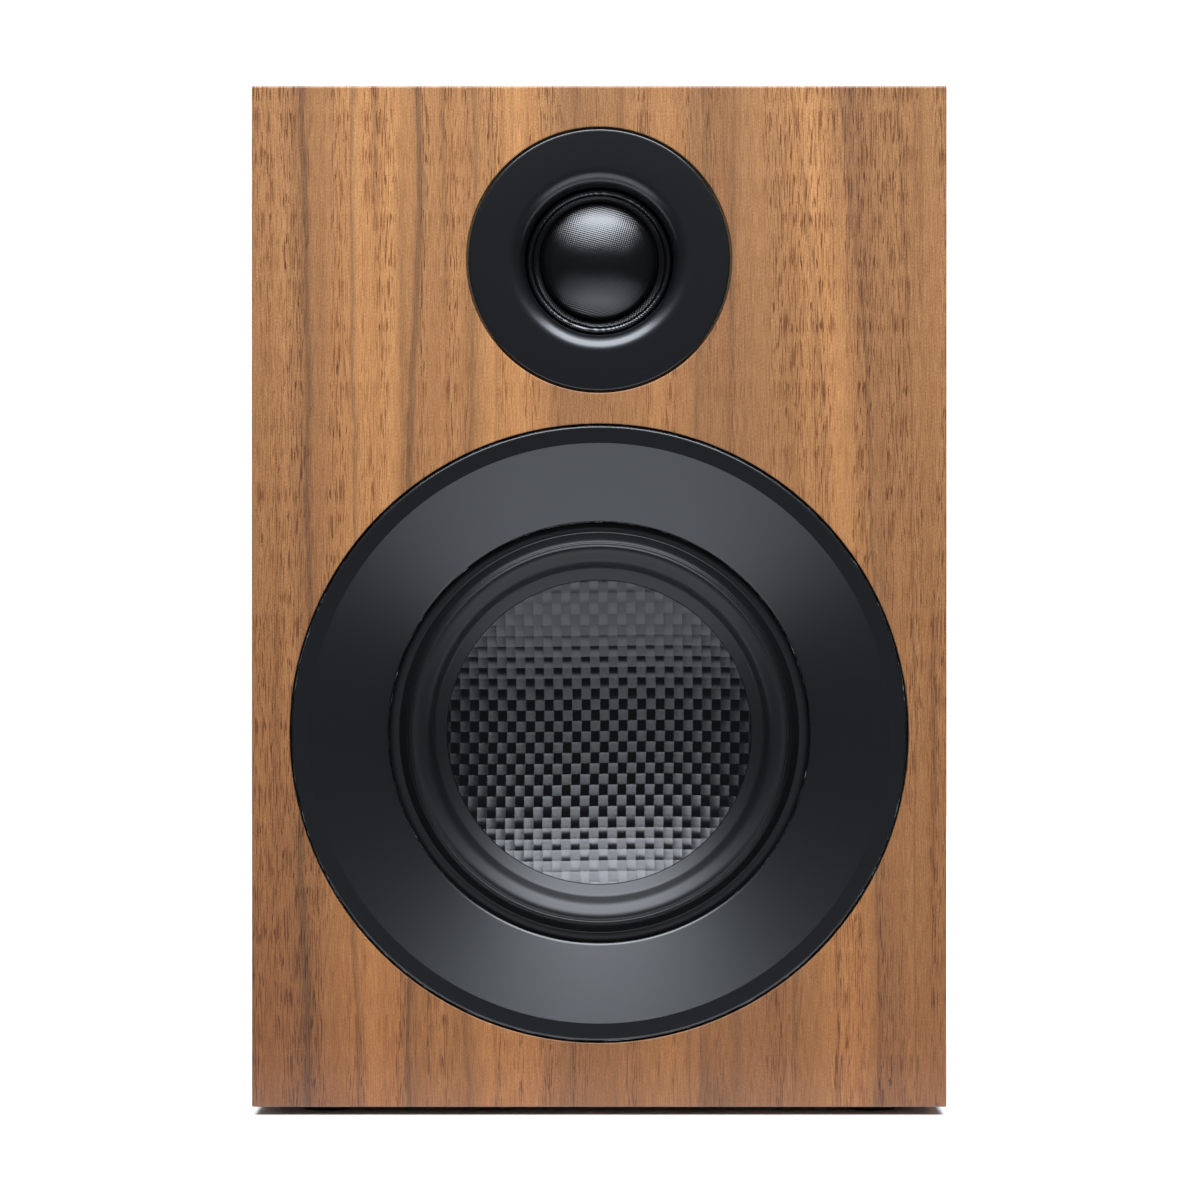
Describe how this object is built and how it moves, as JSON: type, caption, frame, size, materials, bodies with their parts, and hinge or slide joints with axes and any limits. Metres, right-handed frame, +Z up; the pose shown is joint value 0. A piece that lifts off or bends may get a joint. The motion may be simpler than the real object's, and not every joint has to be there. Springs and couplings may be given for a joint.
{
  "type": "bookshelf speaker",
  "caption": "Two-way bookshelf speaker: veneered wooden box, dome tweeter above a woven-cone woofer, rear port and binding posts.",
  "frame": {"origin": "on the surface it stands on, in the middle of its width and of its depth with the posts", "axes": "+Z up, the drivers face -Y, +X is to the right of someone who faces the drivers"},
  "size_m": [0.165, 0.2036, 0.2445],
  "materials": {
    "mdf": "raw medium-density fibreboard",
    "black_board": "black satin foil",
    "walnut_veneer": "open-pore walnut under matt lacquer",
    "rubber": "matt black",
    "wadding": "lofty polyester",
    "black_moulding": "fine satin black",
    "carbon_weave": "woven carbon fibre in clear resin",
    "cloth": "coated black cloth",
    "foam": "closed-cell foam",
    "zinc_steel": "zinc plated",
    "black_steel": "black oxide",
    "ferrite": "ground ferrite",
    "plated_metal": "bright tin",
    "copper_wire": "enamelled copper",
    "former_film": "amber polyimide",
    "gold_brass": "gold-plated brass",
    "red_moulding": "red moulding",
    "black_plastic": "black moulding",
    "green_board": "green solder mask",
    "capacitor_wrap": "yellow film wrap",
    "ceramic": "white ceramic",
    "wire_sleeve": "PVC sleeve"
  },
  "bodies": {
    "cabinet": {"back_panel": "black_board", "board_fixings": "black_steel", "bottom_panel": "mdf", "capacitors": "capacitor_wrap", "crossover_board": "green_board", "front_baffle": "mdf", "hookup_wires": "wire_sleeve", "inductors": "copper_wire", "left_panel": "mdf", "port_tube": "black_plastic", "post_collar_black": "black_plastic", "post_collar_red": "red_moulding", "post_rear_nuts": "plated_metal", "post_stud_black": "gold_brass", "post_stud_red": "gold_brass", "rear_edging": "walnut_veneer", "resistor": "ceramic", "right_panel": "mdf", "rubber_feet": "rubber", "solder_lugs": "plated_metal", "terminal_cup": "black_plastic", "terminal_gasket": "foam", "terminal_screws": "black_steel", "top_panel": "mdf", "tweeter_faceplate": "black_moulding", "tweeter_gasket": "foam", "tweeter_magnet": "plated_metal", "tweeter_pole_cap": "zinc_steel", "tweeter_rear_chamber": "black_plastic", "tweeter_screws": "black_steel", "tweeter_surround": "rubber", "tweeter_terminals": "plated_metal", "tweeter_top_plate": "zinc_steel", "tweeter_yoke_cup": "zinc_steel", "veneer_bottom": "walnut_veneer", "veneer_front": "walnut_veneer", "veneer_left": "walnut_veneer", "veneer_right": "walnut_veneer", "veneer_top": "walnut_veneer", "wadding": "wadding", "woofer_basket": "zinc_steel", "woofer_gasket": "foam", "woofer_magnet": "ferrite", "woofer_screws": "black_steel", "woofer_spider": "cloth", "woofer_surround": "rubber", "woofer_terminals": "plated_metal", "woofer_tinsel_leads": "copper_wire", "woofer_top_plate": "zinc_steel", "woofer_trim_ring": "black_moulding", "woofer_yoke": "zinc_steel"},
    "woofer_diaphragm": {"woofer_cone": "carbon_weave", "voice_coil_former": "former_film", "voice_coil_winding": "copper_wire"},
    "tweeter_diaphragm": {"tweeter_dome": "cloth", "tweeter_voice_coil": "copper_wire"},
    "red_washer": {"post_washer_red": "gold_brass"},
    "red_nut": {"post_nut_red": "red_moulding"},
    "black_washer": {"post_washer_black": "gold_brass"},
    "black_nut": {"post_nut_black": "black_plastic"}
  },
  "joints": [
    {"name": "woofer_travel", "type": "slide", "parent": "cabinet", "child": "woofer_diaphragm", "axis": [0, -1, 0], "range_m": [-0.004, 0.004], "stiffness_N_per_m": 1000, "deforming": ["woofer_surround", "woofer_spider", "woofer_tinsel_leads"]},
    {"name": "tweeter_travel", "type": "slide", "parent": "cabinet", "child": "tweeter_diaphragm", "axis": [0, -1, 0], "range_m": [-0.0005, 0.0005], "stiffness_N_per_m": 100, "deforming": ["tweeter_surround"]},
    {"name": "red_washer_lift", "type": "slide", "parent": "cabinet", "child": "red_washer", "axis": [0, 1, 0], "range_m": [0, 0.004]},
    {"name": "red_nut_turn", "type": "hinge", "parent": "red_washer", "child": "red_nut", "pos_m": [-0.00953, 0.09225, 0.062], "axis": [0, 1, 0], "range_deg": [0, 1440]},
    {"name": "black_washer_lift", "type": "slide", "parent": "cabinet", "child": "black_washer", "axis": [0, 1, 0], "range_m": [0, 0.004]},
    {"name": "black_nut_turn", "type": "hinge", "parent": "black_washer", "child": "black_nut", "pos_m": [0.00953, 0.09225, 0.062], "axis": [0, 1, 0], "range_deg": [0, 1440]}
  ],
  "couplings": [
    {"joint": "red_nut_turn", "follows": "red_washer_lift", "rad_per_m": 6283.2},
    {"joint": "black_nut_turn", "follows": "black_washer_lift", "rad_per_m": 6283.2}
  ]
}
